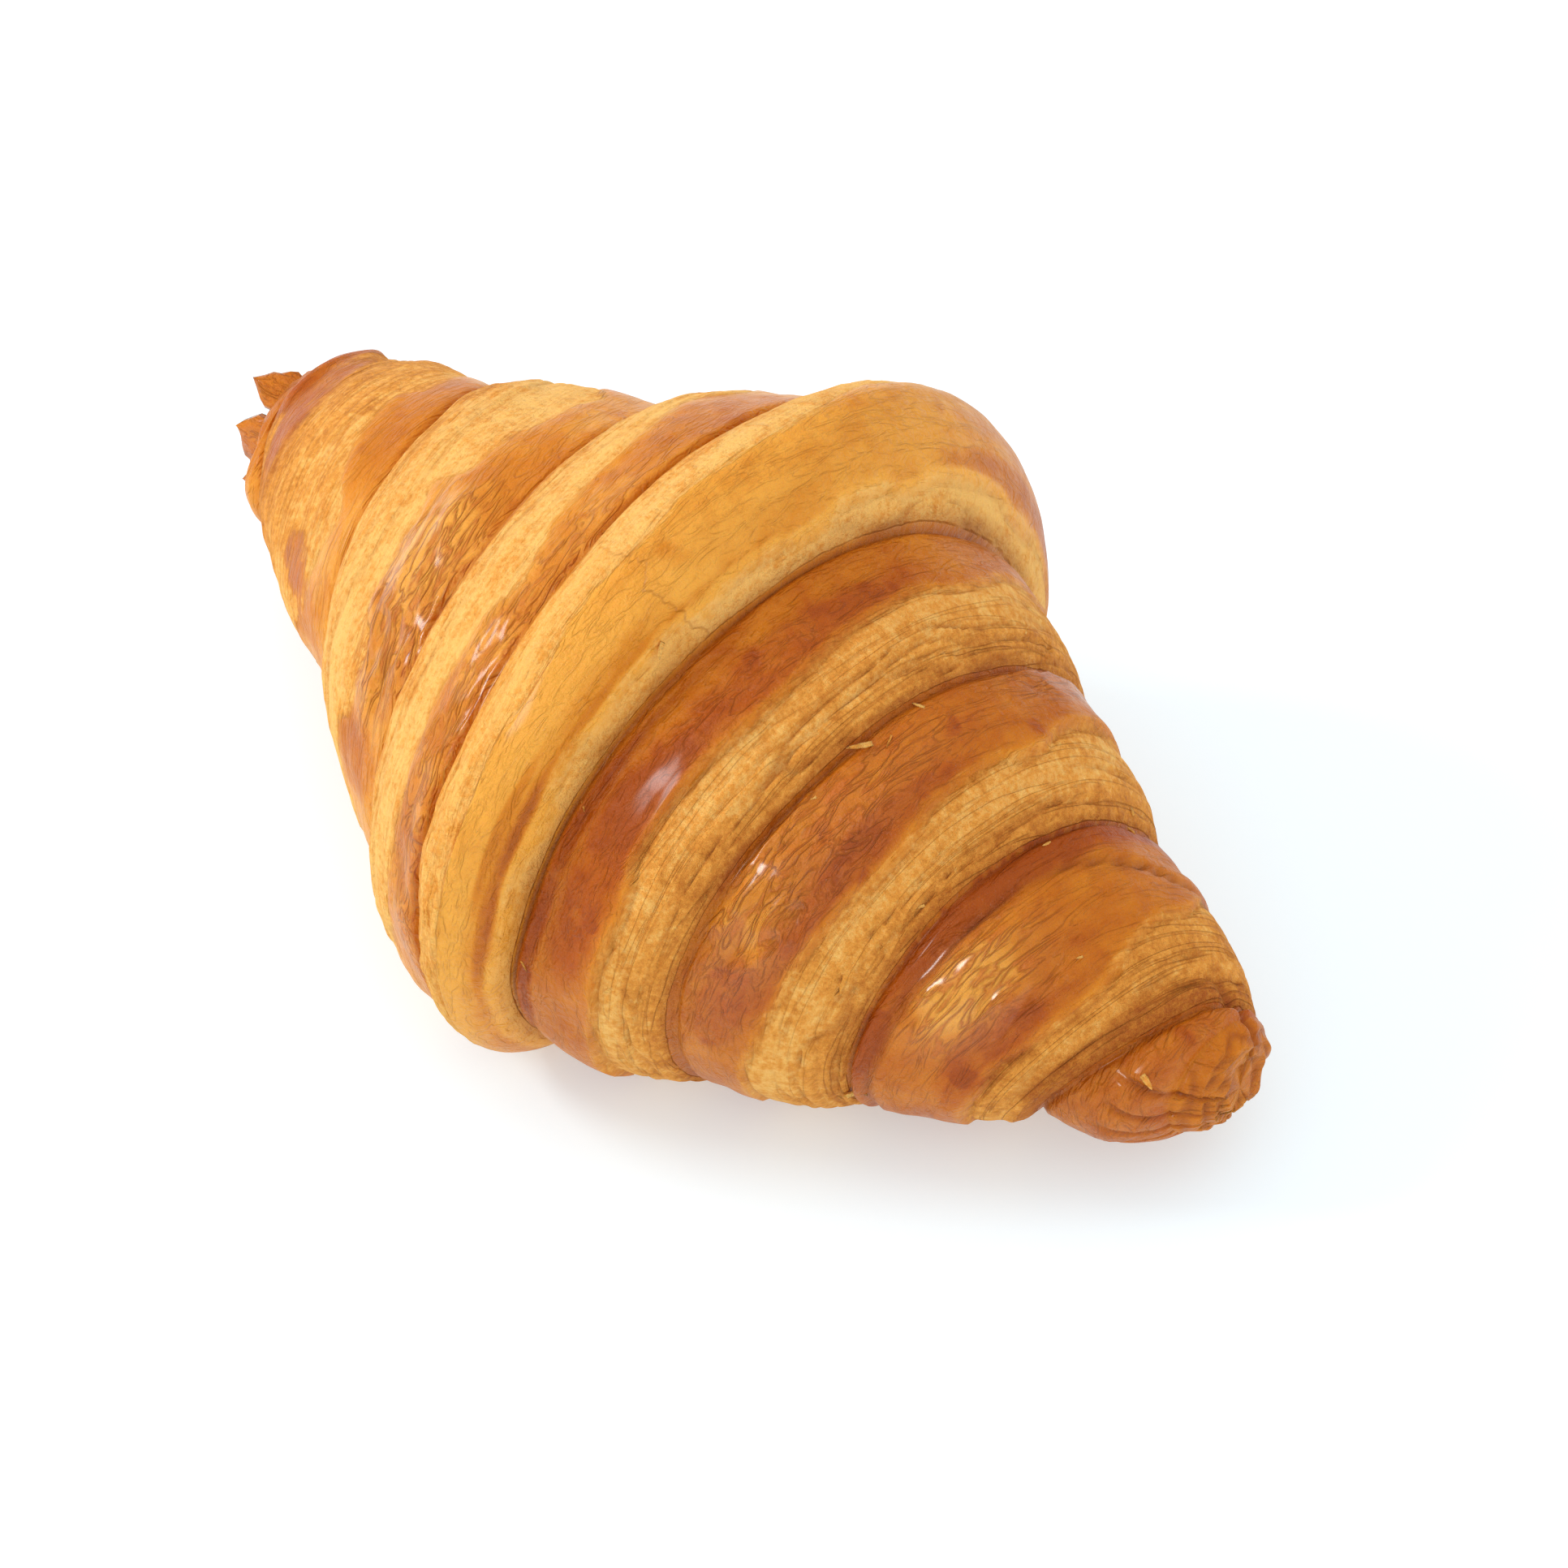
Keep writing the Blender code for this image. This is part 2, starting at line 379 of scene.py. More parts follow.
def lattice(x, y, seed):
    """Smooth noise from -1 to 1 on a unit lattice."""
    column = np.floor(x).astype(np.int64)
    row = np.floor(y).astype(np.int64)

    def corner(right, up):
        code = (column + right) * 374761393 + (row + up) * 668265263 + seed * 1442695041
        code = ((code ^ (code >> 13)) * 1274126177) & 0xFFFFFFFF
        code = ((code ^ (code >> 16)) * 2246822519) & 0xFFFFFFFF
        return (code ^ (code >> 15)) / 0x7FFFFFFF - 1

    across = smooth_step(x - column)
    low = mix(corner(0, 0), corner(1, 0), across)
    high = mix(corner(0, 1), corner(1, 1), across)
    return mix(low, high, smooth_step(y - row))


def fractal(x, y, seed, octaves=3):
    total = 0
    for octave in range(octaves):
        total = total + lattice(x * 2**octave, y * 2**octave, seed + octave) / 2**octave
    return total / 1.6


def seam_radius(x, stations, radii):
    """The roll's radius at a seam: straight runs between the stations, rounded by averaging."""
    total = 0
    offsets = np.linspace(-ROUNDING, ROUNDING, 9)
    for offset in offsets:
        total = total + np.interp(x + offset, stations, radii)
    return total / len(offsets)


def helix(turn, edge, flare=0):
    """Where a long edge of the sheet lies along X, held inside the rim of the rolled end."""
    start, advance, stretch = edge
    x = start + advance * turn + stretch * turn**2
    x = x + flare * smooth_step((FLARE_TURN - turn) / FLARE_TURNS)
    over = np.clip((np.abs(x) - RIM_REACH) / RIM_EASE, -1, 1)
    reach = np.minimum(np.abs(x), RIM_REACH + RIM_EASE) - RIM_EASE * (over + 1) ** 2 / 4
    return np.sign(x) * reach


def edges(turn):
    """The sheet's left and right edges as (place along X, radius), drawn together at its tip."""
    left = helix(turn, LEFT_EDGE)
    right = helix(turn, RIGHT_EDGE, FLARE)
    middle = (left + right) / 2
    taper = np.sqrt(np.clip((TIP_TURN - turn) / TIP_TAPER_TURNS, 0, 1))
    left = mix(middle, left, taper)
    right = mix(middle, right, taper)
    left_radius = seam_radius(left, LEFT_STATIONS, LEFT_RADII)
    right_radius = seam_radius(right, RIGHT_STATIONS, RIGHT_RADII)
    radius = (left_radius + right_radius) / 2
    return (left, mix(radius, left_radius, taper)), (right, mix(radius, right_radius, taper))


def pick(side, pair):
    """Each point's own edge out of the left and right ones."""
    (left, left_radius), (right, right_radius) = pair
    return np.where(side > 0, right, left), np.where(side > 0, right_radius, left_radius)


class Dough:
    """The sheet's points, with where each lies on the roll and on its band."""

    def __init__(self, turn, share, side):
        self.turn = turn
        self.share = share
        self.side = side
        ends = edges(turn)
        outer, outer_radius = pick(side, ends)
        inner, inner_radius = pick(side, edges(np.minimum(turn + 1, TIP_TURN)))
        bare = smooth_step((turn + 1 - TIP_TURN) / COVER_BLEND_TURNS)
        middle = mix(inner, (ends[0][0] + ends[1][0]) / 2, bare)

        height = SWELL * smooth_step(np.abs(outer - inner) / SWELL_WIDTH)
        swell = np.sin(np.pi * share**SWELL_SKEW).clip(0, 1) ** SWELL_FULLNESS
        layer = mix(inner_radius, outer_radius, share) + height * swell
        half = (ends[1][0] - ends[0][0]) / 2
        bow, steepness = (self.by_side(*pair) for pair in zip(CROWN_LEFT, CROWN_RIGHT))
        arch = (1 - share**bow).clip(0, 1) ** steepness
        crown = mix((ends[0][1] + ends[1][1]) / 2, outer_radius, share) + CROWN_SHARE * half * arch

        self.bare = bare
        self.x = mix(middle, outer, share)
        self.radius = mix(layer, crown, bare)
        top = mix(inner_radius, outer_radius + CROWN_SHARE * half, bare)
        self.width = np.hypot(outer - middle, top - outer_radius)
        self.inwards = share * self.width
        self.outwards = (1 - share) * self.width
        self.band = np.floor(BASE_TURN - turn)
        self.angle = (turn + self.band) * 360
        self.along = self.run_along()

    def run_along(self):
        """Length along the band, in millimetres, from the tip of the dough back."""
        turns = np.linspace(START_TURN, TIP_TURN, RUN_STEPS)
        ends = edges(turns)
        radius = (ends[0][1] + ends[1][1]) / 2
        run = np.concatenate([[0], np.cumsum(radius[1:] * np.diff(turns) * 2 * np.pi)])
        return np.interp(self.turn, turns, run - run[-1])

    def by_side(self, left, right):
        """One value for the points on the left half and another for those on the right."""
        return np.where(self.side > 0, right, left)

    def on_band(self, side, band):
        return (self.side == side) & (self.band == band)

    def noise(self, length, width, seed, octaves=1, from_seam=False):
        """Noise that varies over a length along the band and a width across it, in millimetres."""
        across = self.inwards if from_seam else self.outwards
        if octaves == 1:
            return lattice(self.along / length, across / width, seed)
        return fractal(self.along / length, across / width, seed, octaves)

    def patches(self, table):
        """How strongly each point lies in the listed patches."""
        total = np.zeros_like(self.share)
        for side, band, angle, share, reach_round, reach_across, strength in table:
            here = self.on_band(side, band)
            distance = np.hypot((self.angle - angle) / reach_round, (self.share - share) / reach_across)
            total += here * strength * smooth_step(1.6 - distance)
        return total


def glaze_reach(dough):
    """The share of the band's width that the glazed skin reaches out to, before it wanders."""
    reach = np.full_like(dough.share, GLAZE_EVERYWHERE)
    for (side, band), (angles, shares) in GLAZE_REACH.items():
        here = dough.on_band(side, band)
        reach = np.where(here, np.interp(dough.angle, angles, shares), reach)
    return reach


def skin(dough):
    """How glazed each point is, how far into the torn edge, the skin's reach and the gap to its edge."""
    reach = glaze_reach(dough)
    row = dough.band * 7.3 + dough.side
    wander = 0.03 * fractal(dough.along / 14, row, 11) + 0.02 * lattice(dough.along / 3, row, 5)
    torn_back = 0.035 * np.tanh(5 * lattice(dough.along / 8, row + 0.4, 7))
    reach = reach + (wander + torn_back) * dough.by_side(1.6, 1)
    brown_patch = (dough.side < 0) * 2.2 * dough.patches(TOASTED)
    edge_width = dough.by_side(1.0, 0.5)
    glaze = smooth_step((reach - dough.share) * dough.width / edge_width + 0.5)
    glaze = np.maximum(glaze, brown_patch.clip(0, 1))
    torn = np.clip((dough.share - reach) / np.maximum(1 - reach, 0.05), 0, 1)
    gap = np.maximum((reach - dough.share) * dough.width, 3 * (brown_patch - 0.5))
    return glaze, torn, reach, gap.clip(-WIDEST_GAP, WIDEST_GAP)


def film_tear(dough):
    """Distance past the tear across the crown's film of glaze, in millimetres."""
    wander = 1.6 * fractal(dough.share * 9, dough.side * 2.1, 23)
    run = TEAR_DEGREE * (dough.angle - TEAR_ANGLE) + wander
    return np.where(dough.band == 0, run.clip(-WIDEST_GAP, WIDEST_GAP), -WIDEST_GAP)


def seam_depth(turn, side):
    """How deep a seam sinks, as a share: uneven along the roll, and none at the rim or the dough's tip."""
    uneven = 0.8 + 0.45 * fractal(turn * 9, side * 3.7, 21)
    rim_turn = np.where(side > 0, RIM_TURNS[1], RIM_TURNS[0])
    return uneven * smooth_step((turn - rim_turn) / 0.35) * smooth_step((TIP_TURN - turn) / 0.06)


def seam_creases(dough, depth):
    """The grooves along a band's outer edge and its inner seam, as a height, and the painted shade they get.
    """
    edge = bell(dough.outwards / EDGE_CREASE_WIDTH) * smooth_step(dough.share * 2)
    seam = bell(dough.inwards / SEAM_CREASE_WIDTH) * smooth_step((1 - dough.share) * 2) * (1 - dough.bare)
    edge = edge * seam_depth(dough.turn, dough.side)
    seam = seam * seam_depth(np.minimum(dough.turn + 1, TIP_TURN), dough.side)
    return -depth * (edge + seam), 0.85 * edge + 0.75 * seam


def torn_layers(dough, glaze, torn, height):
    """The thin layers of dough that show as ridges on the torn edges, and the painted shade on the ledges
    between them.
    """
    swing = 0.9 * dough.noise(16, 9, seed=31, octaves=3) + 0.25 * dough.noise(4, 2, seed=35)
    phase = dough.outwards / LAYER_WIDTH + swing
    terrace = phase - np.floor(phase)
    ridge = np.sin(np.pi * terrace**0.6) * 2 - 1.2
    strength = dough.by_side(0.45, 1.0) * (1 - glaze) * smooth_step(dough.outwards / 1.2)
    strength = strength * (0.55 + 0.6 * dough.noise(9, 3, seed=39)).clip(0, 1)
    strength = strength * (0.3 + 0.7 * smooth_step((torn - 0.25) / 0.4))
    ledge_shade = bell(np.minimum(terrace, 1 - terrace) / 0.14) * strength
    return height * ridge * strength, ledge_shade


def torn_roughness(dough, glaze, torn):
    """The frayed ends of the layers on the right, and the lumps of bare dough on both sides."""
    frayed = (dough.side > 0) * smooth_step((torn - 0.5) / 0.35)
    frill = FRILL_HEIGHT * dough.noise(2.6, 0.9, seed=45, octaves=3) * frayed
    lumpy = dough.noise(4.5, 3.2, seed=57, octaves=3, from_seam=True) * (1 - glaze)
    return frill + dough.by_side(LUMPS[LEFT], LUMPS[RIGHT]) * lumpy


def open_splits(dough, glaze, torn):
    """How far the torn edges have split open between their layers, from 0 to 1."""
    drift = 0.7 * dough.noise(9, 3, seed=47)
    split = bell(lattice(dough.along / 17 + drift, dough.outwards / 1.35 + drift, 49) / 0.13)
    far_left = 0.45 * smooth_step((torn - 0.35) / 0.3)
    far_right = smooth_step((torn - 0.25) / 0.3)
    broken = smooth_step(dough.noise(12, 6, seed=50, octaves=3) + 0.7)
    return split * dough.by_side(far_left, far_right) * (1 - glaze) * broken


def skin_step(dough, reach, height):
    """The step from the glazed skin down to the torn edge, the painted shade line under it, and its brim
    painted paler as a highlight.
    """
    inside = (reach - dough.share) * dough.width
    lip = dough.by_side(0.25, 1.0) * (dough.band < 4)
    fade = smooth_step(dough.outwards / 1.5)
    step = height * lip * (smooth_step(inside / 0.5 + 0.5) - 1) * fade
    step = step - SKIN_LINE_DEPTH * lip * bell((inside + SKIN_LINE) / 0.3)
    shade = lip * bell((inside + SKIN_LINE) / 0.32) * fade
    return step, shade, lip * bell((inside - 0.45) / 0.4)


def skin_puffs(dough, glaze):
    """Slow swellings of the glazed skin, lower on the crown."""
    puff = fractal(dough.along / 15, dough.inwards / 8 + dough.band * 5, 51)
    return PUFF_HEIGHT * puff * glaze * np.where(dough.bare > 0.5, 0.45, 1)


def wrinkles(dough):
    """Crumpled folds of loose skin, from -1 to 1, large ones with small ones among them."""
    along, inwards = dough.along, dough.inwards
    warp = 1.3 * dough.noise(6, 4, seed=61, from_seam=True)
    large = 1 - 2 * np.abs(lattice(along / 5.2 + warp, inwards / 1.9 + along / 16 + warp, 63))
    small = 1 - 2 * np.abs(lattice(along / 2.1 + warp, inwards + along / 9, 65))
    return 0.7 * large + 0.3 * small


def right_folds(dough):
    """How deep each point lies in the second fold under the third seam, and in the pinch by the crown."""
    from_fold = (dough.share - np.interp(dough.angle, FOLD_ANGLES, FOLD_SHARES)) * dough.width
    from_fold = from_fold + 0.3 * lattice(dough.along / 5, 3.5, 71)
    fold = dough.on_band(RIGHT, 3) * bell(from_fold / 0.55)
    pinch = dough.on_band(RIGHT, 1) * bell((dough.share - PINCH_SHARE) * dough.width / 0.6)
    return fold, pinch * smooth_step((dough.angle - PINCH_ANGLE) / 40)


def raised_rims(dough):
    """The last bands turn up at their rims, and the left one sinks behind its own."""
    right = dough.on_band(RIGHT, 3) * bell((dough.outwards - 1.7) / 0.9)
    right = right * smooth_step((dough.angle - 55) / 30)
    left = dough.on_band(LEFT, 3) * smooth_step((135 - dough.angle) / 30)
    left = left * (bell((dough.outwards - 1.6) / 1.3) - bell((dough.outwards - 8) / 4.5))
    return RIM_HEIGHTS[RIGHT] * right + RIM_HEIGHTS[LEFT] * left


def left_plies(dough):
    """The edge of an inner ply that shows along the left bands, and the groove beside it, which gets painted
    shade.
    """
    share = PLY_SHARE + 0.05 * lattice(dough.along / 11, dough.band * 3.1, 73)
    inside = (dough.share - share) * dough.width
    strength = (dough.side < 0) & (dough.bare < 0.5)
    strength = strength * (0.45 + 0.55 * lattice(dough.along / 13, 5.5, 75)).clip(0, 1)
    groove = strength * bell(inside / 0.5)
    return PLY_HEIGHT * strength * smooth_step(inside / 0.8 + 0.5) - PLY_DEPTH * groove, groove


def detail(dough, sizes):
    """Height that the creases, layers, wrinkles and steps add, and the marks that colour them."""
    glaze, torn, reach, gap = skin(dough)
    open_out = smooth_step(dough.outwards / SEAM_EASE)
    open_in = mix(smooth_step(dough.inwards / SEAM_EASE), 1, dough.bare)
    window = open_out * open_in

    creases, crease_shade = seam_creases(dough, sizes.crease)
    layers, ledge_shade = torn_layers(dough, glaze, torn, sizes.lamination)
    split = open_splits(dough, glaze, torn)
    step, step_shade, lip_highlight = skin_step(dough, reach, sizes.lip)
    wrinkle_zone = dough.patches(WRINKLED).clip(0, 1)
    blister = dough.patches(BLISTERED).clip(0, 1)
    fold, pinch = right_folds(dough)
    ply, groove = left_plies(dough)

    added = layers + torn_roughness(dough, glaze, torn) - SPLIT_DEPTH * split + step
    added += skin_puffs(dough, glaze) + sizes.wrinkles * wrinkle_zone * wrinkles(dough)
    added += BLISTER_HEIGHT * blister - FOLD_DEPTH * fold - PINCH_DEPTH * pinch
    added += raised_rims(dough) + ply

    # This mark is painted shade: in the seam creases, the fold and the pinch, under the skin step, in the open
    # splits, on the ledges between layers, in the ply groove and in the grooves of the right end, weaker on
    # the left half.
    dark = (crease_shade + 0.8 * fold + 0.45 * pinch).clip(0, 1) * dough.by_side(0.45, 0.85)
    dark = (dark + 0.22 * step_shade + 0.45 * split + 0.22 * ledge_shade + 0.30 * groove).clip(0, 1)
    dark = np.maximum(dark, 0.9 * fan_cracks(dough.x, 2 * np.pi * dough.turn))
    # The brim just inside the skin's raised edge is painted paler, as a highlight.
    toast = toasting(dough, glaze, torn) - 0.55 * blister - 0.28 * lip_highlight
    at_seam = dough.share > 0.999
    marks = {
        "gap": np.where(at_seam, WIDEST_GAP, gap),
        "tear": np.where(at_seam, -WIDEST_GAP, film_tear(dough)),
        "toast": np.where(at_seam, 0.5, toast.clip(0, 1)),
        "dark": dark,
        "wrinkled": wrinkle_zone * window,
    }
    return creases + added * window, marks


def toasting(dough, glaze, torn):
    """How far each point is baked, from pale at 0 to dark at 1."""
    on_crown = dough.bare > 0.5
    glazed = mix(0.20, 0.56, smooth_step((dough.x + 12) / 34))
    crown = 0.16 + 0.16 * smooth_step((60 - dough.angle) / 50) - 0.16 * smooth_step((dough.angle - 80) / 60)
    inside = (glaze_reach(dough) - dough.share) * dough.width
    under_edge = (dough.side > 0) * bell((inside - 1.6) / 1.7) * smooth_step((dough.angle - 98) / 20)
    glazed = np.where(on_crown, crown + 0.26 * under_edge, glazed)
    glazed = glazed + 0.12 * smooth_step((np.abs(dough.x) - 55) / 15)
    pale = dough.by_side(0.10, 0.27) + dough.by_side(0.16, 0.22) * smooth_step((torn - 0.45) / 0.55)
    pale = np.where((dough.side > 0) & on_crown, 0.04, pale)
    pale = pale + dough.by_side(0.30, 0.16) * smooth_step((np.abs(dough.x) - 40) / 22)
    pale = pale + 0.16 * (dough.band > 3)
    toast = mix(pale, glazed, glaze) + dough.patches(TOASTED)
    return toast + 0.10 * dough.noise(12, 5, seed=81, octaves=3, from_seam=True)


def axis_point(x):
    """The middle of the roll, in millimetres: its ends sink towards the tray and bend to the back."""
    share = x / HALF_LENGTH
    y = END_BEND * share**2 + END_SKEW * share - BOX_MIDDLE_Y
    return y, AXIS_HEIGHT - END_DROP * share**2 + END_TILT * share


def settled(z):
    """Height after the soft dough has settled on the tray."""
    eased = (z + np.sqrt(z * z + BASE_EASE**2)) / 2
    return np.maximum(eased - BASE_CUT, 0)


def uneven_body(x, angle):
    """Slow dents and bulges of the whole loaf, the same on both sides of every seam."""
    round_y, round_z = np.cos(angle), np.sin(angle)
    slow = lattice(x / 21 + 1.6 * round_y, 1.6 * round_z + x / 37, 15)
    quick = lattice(x / 11 + 2.6 * round_y, 2.6 * round_z - x / 19, 17)
    hold = 1 - smooth_step((np.abs(x) - 62) / 10)
    return (0.75 * slow + 0.35 * quick) * hold


def fan_cracks(x, angle):
    """Grooves in the right end, from 0 to 1: between the fanned layer edges, and beside its lobes."""
    round_y, round_z = np.cos(angle), np.sin(angle)
    bend = 0.5 * lattice(x / 4, 1.8 * round_y + 3, 93) + 0.25 * lattice(2.2 * round_z, x / 5, 95)
    near_below = smooth_step((np.cos(angle - np.radians(FAN_ANGLE)) + 0.15) / 0.6)
    fan = bell(np.sin(FAN_EDGES * angle + 5 * bend + 0.12 * x) / 0.3) * near_below
    lobes = bell(np.sin(1.5 * (angle - np.radians(LOBE_ANGLE)) + 0.5 * bend) / 0.16) * (1 - near_below)
    return (fan * 0.9 + lobes * 0.8) * smooth_step((x - FAN_START) / 4)


def loaf_points(dough, height):
    """Where the sheet's points lie once it is rolled, in metres."""
    angle = 2 * np.pi * dough.turn
    y, z = axis_point(dough.x)
    radius = dough.radius + height + uneven_body(dough.x, angle)
    radius = radius - FAN_DEPTH * fan_cracks(dough.x, angle)
    y = y + radius * np.cos(angle)
    z = settled(z + radius * HIGH_TO_WIDE * np.sin(angle))
    return np.stack([dough.x, y, z], axis=-1) * MM


# ---------------------------------------------------------------- the loaf's mesh


def under_next_turn(edge, column_turns):
    """An edge on the sheet's middle line that the next turn covers."""
    first, second = edge.verts
    on_middle = abs(first.co.y) < FLAT_WELD and abs(second.co.y) < FLAT_WELD
    return on_middle and max(first.co.x, second.co.x) < TIP_TURN - 1 + column_turns / 2


def flat_sheet(columns, rows):
    """The dough as a flat grid: X counts the turns, Y runs from the left edge at -1 to the right at 1."""
    length = TIP_TURN - START_TURN
    sheet = bmesh.new()
    bmesh.ops.create_grid(sheet, x_segments=round(length * columns), y_segments=2 * rows, size=0.5)
    bmesh.ops.scale(sheet, vec=(length, 2, 1), verts=sheet.verts)
    bmesh.ops.translate(sheet, vec=(START_TURN + length / 2, 0, 0), verts=sheet.verts)
    slit = [edge for edge in sheet.edges if under_next_turn(edge, 1 / columns)]
    bmesh.ops.split_edges(sheet, edges=slit)
    return sheet


def sheet_coordinates(sheet, columns, rows):
    """Each vertex's turn, share and side, snapped to the grid so that joined edges meet exactly."""
    flat = np.array([vert.co for vert in sheet.verts], dtype=float)
    turn = START_TURN + np.round((flat[:, 0] - START_TURN) * columns) / columns
    count = np.round(np.abs(flat[:, 1]) * rows) / rows
    side = np.sign(flat[:, 1])
    for vert in sheet.verts:
        if count[vert.index] == 0:
            lean = sum(face.calc_center_median().y for face in vert.link_faces)
            side[vert.index] = LEFT if lean < -FLAT_WELD else RIGHT
    return turn, np.interp(count, ROW_COUNTS, ROW_SHARES), side


def write_marks(sheet, marks):
    for name, values in marks.items():
        layer = sheet.verts.layers.float.new(name)
        for vert, value in zip(sheet.verts, values):
            vert[layer] = value


def write_roll_map(sheet, along, outwards):
    """The map that the grain follows: along the band and across it, in centimetres."""
    layer = sheet.loops.layers.uv.new("roll")
    table = np.stack([along, outwards], axis=-1) * MM / CM
    for face in sheet.faces:
        for loop in face.loops:
            loop[layer].uv = table[loop.vert.index]


def close_end(sheet, side, rings):
    """Carries the rim of a rolled end out along its core and round to a point."""
    y, z = axis_point(side * CORE_END)
    end = Vector((side * CORE_END, y, z)) * MM
    about_end = Matrix.Translation(-end)
    lip = [edge for edge in sheet.edges if edge.is_boundary and edge.verts[0].co.x * side > 0]
    was_along, was_around = 1, 1
    roll = sheet.loops.layers.uv["roll"]
    for ring_number in range(1, rings):
        arc = ring_number / rings * np.pi / 2
        along, around = 1 - np.sin(arc), np.cos(arc) ** 0.8
        made = bmesh.ops.extrude_edge_only(sheet, edges=lip)["geom"]
        ring = [item for item in made if isinstance(item, bmesh.types.BMVert)]
        lip = [item for item in made if isinstance(item, bmesh.types.BMEdge)]
        scale = (along / was_along, around / was_around, around / was_around)
        bmesh.ops.scale(sheet, vec=scale, space=about_end, verts=ring)
        was_along, was_around = along, around
        for loop in (loop for vert in ring for face in vert.link_faces for loop in face.loops):
            loop[roll].uv = (loop.vert.co.y / CM, loop.vert.co.z / CM)
    bmesh.ops.pointmerge(sheet, verts=ring, merge_co=end)
    roughen_end(sheet, side, end)


def roughen_end(sheet, side, end):
    """Shows the roll's layers winding in its blunt end, and the folds they are pinched into."""
    dark = sheet.verts.layers.float["dark"]
    toast = sheet.verts.layers.float["toast"]
    verts = [vert for vert in sheet.verts if vert.co.x * side > BLUNT_START * MM]
    places = np.array([vert.co for vert in verts], dtype=float) / MM
    hold = smooth_step((places[:, 0] * side - BLUNT_START) / BLUNT_EASE)
    y, z = (places - np.array(end) / MM)[:, 1:].T
    bend = lattice(y / 2.4, z / 2.4, 101)
    layers = np.sin(2 * np.pi * np.hypot(y, z) / BLUNT_LAYER_WIDTH + side * np.arctan2(z, y) + 2.2 * bend)
    folds = lattice(y / 3.1 + 7, z / 3.1, 103)
    pushes = side * MM * hold * (BLUNT_LAYER_HEIGHT * layers + BLUNT_FOLD_HEIGHT * folds)
    # Painted shade in the sunk turns of the blunt end.
    shades = 0.7 * hold * smooth_step(-layers)
    for vert, push, shade, held in zip(verts, pushes, shades, hold):
        vert.co.x += push
        vert[dark] = max(vert[dark], shade)
        vert[toast] = mix(vert[toast], 0.5, held)


def roll_loaf(settings):
    """Winds the sheet into the loaf, joins each layer to the one that covers it and closes both ends."""
    columns, rows = settings.columns, settings.rows
    sheet = flat_sheet(columns, rows)
    sheet.verts.index_update()
    dough = Dough(*sheet_coordinates(sheet, columns, rows))
    height, marks = detail(dough, settings)
    write_marks(sheet, marks)
    write_roll_map(sheet, dough.along, dough.outwards)
    for vert, point in zip(sheet.verts, loaf_points(dough, height)):
        vert.co = point
    bmesh.ops.remove_doubles(sheet, verts=sheet.verts, dist=WELD)
    rims = [edge for edge in sheet.edges if edge.is_boundary]
    if min(abs(edge.verts[0].co.x) for edge in rims) < (RIM_REACH - 1) * MM:
        raise RuntimeError("The roll has an open seam")
    for side in (LEFT, RIGHT):
        close_end(sheet, side, CAP_RINGS)
    bmesh.ops.recalc_face_normals(sheet, faces=sheet.faces)
    return sheet


def petal(shape, length, width, thickness, curl, cup):
    """A thin leaf of pastry along X from the origin, drawn to a point, curling up and cupped."""
    columns, rows = PETAL_GRID
    made = bmesh.ops.create_grid(shape, x_segments=columns, y_segments=rows, size=0.5)["verts"]
    for vert in made:
        u, v = vert.co.x + 0.5, vert.co.y
        taper = (1 - u**1.7) * (0.75 + 0.6 * u)
        ragged = 0.05 * np.sin(17 * u + 5 * v)
        vert.co = (u * length, (v + ragged) * width * taper, curl * u * u + cup * 4 * v * v)
    faces = list(dict.fromkeys(face for vert in made for face in vert.link_faces))
    walled = bmesh.ops.solidify(shape, geom=faces, thickness=thickness)["geom"]
    extra = [item for item in walled if isinstance(item, bmesh.types.BMVert)]
    return list(dict.fromkeys(made + extra))


def add_petal(shape, base, direction, outwards, sizes, gap, toast):
    """Sets a petal on the crust at its base, and bakes it."""
    verts = petal(shape, *(size * MM for size in sizes))
    for name, value in zip(MARKS, (gap, -WIDEST_GAP, toast, 0.0, PETAL_WRINKLED)):
        layer = shape.verts.layers.float[name]
        for vert in verts:
            vert[layer] = value
    along = Vector(direction).normalized()
    across = Vector(outwards).cross(along).normalized()
    turned = Matrix((along, across, along.cross(across))).transposed().to_4x4()
    bmesh.ops.transform(shape, matrix=Matrix.Translation(base) @ turned, verts=verts)


def new_petals():
    shape = bmesh.new()
    for name in MARKS:
        shape.verts.layers.float.new(name)
    return shape


def finish_petals(shape, name, material):
    bmesh.ops.recalc_face_normals(shape, faces=shape.faces)
    layer = shape.loops.layers.uv.new("roll")
    for face in shape.faces:
        for loop in face.loops:
            place = loop.vert.co / CM
            loop[layer].uv = (place.x, place.y + place.z)
    return finish_piece(shape, name, material)


def lay_flakes(shape):
    """The few flakes that are large enough to have places of their own."""
    for place, sizes, swing in FLAKES:
        here, along, out = loaf_frame(*place)
        direction = along * np.cos(swing) + out.cross(along) * np.sin(swing) + out * 0.15
        add_petal(shape, here + out * 0.1 * MM, direction, out, sizes, ALL_TORN, 0.05)


def scatter_flakes(shape, count, seed):
    """Small flakes near the seams and torn edges of the right half, lying flat on the crust."""
    draw = np.random.default_rng(seed)
    for _ in range(count):
        band = int(draw.integers(0, 4))
        share = draw.choice((draw.uniform(0.03, 0.12), draw.uniform(0.5, 0.96)))
        here, along, out = loaf_frame(RIGHT, band, draw.uniform(20, 215), share)
        swing = draw.normal(0, 0.5)
        length, width = draw.uniform(0.7, 2.0), draw.uniform(0.25, 0.6)
        curl, cup = draw.uniform(0.0, 0.12), draw.uniform(0.0, 0.1)
        sizes = (length, width, FLAKE_THICKNESS, curl, cup)
        direction = along * np.cos(swing) + out.cross(along) * np.sin(swing) + out * 0.02
        add_petal(shape, here, direction, out, sizes, ALL_TORN, draw.uniform(0.0, 0.3))


